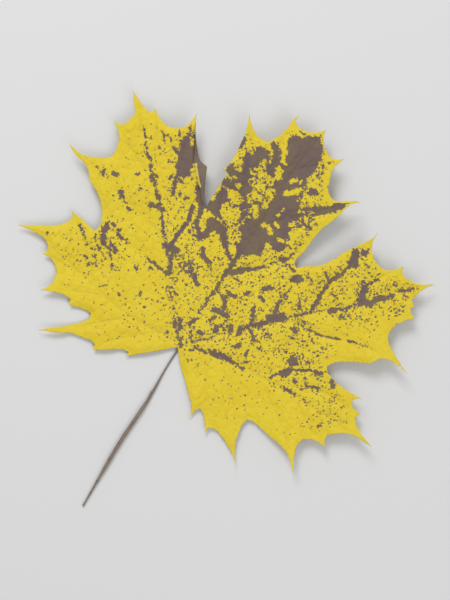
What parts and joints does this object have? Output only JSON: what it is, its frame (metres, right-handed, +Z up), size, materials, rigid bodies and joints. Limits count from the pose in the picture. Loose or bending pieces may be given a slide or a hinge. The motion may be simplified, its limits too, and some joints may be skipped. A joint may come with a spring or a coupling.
{
  "type": "maple leaf",
  "caption": "Fallen five-lobed maple leaf, yellow with brown decay along its veins, lying flat on its underside with its thin brown stalk.",
  "frame": {"origin": "on the surface the leaf lies on, under the middle of the swelling where the main veins meet the stalk", "axes": "+Y out along the midrib of the central lobe (the stalk runs along -Y), +X to the right seen from above, +Z up through the blade's upper side"},
  "size_m": [0.1507, 0.161, 0.009],
  "materials": {
    "leaf_blade": "matte",
    "leaf_stalk": "matte"
  },
  "bodies": {
    "root": {"leaf_blade": "leaf_blade", "leaf_stalk": "leaf_stalk"}
  },
  "joints": []
}
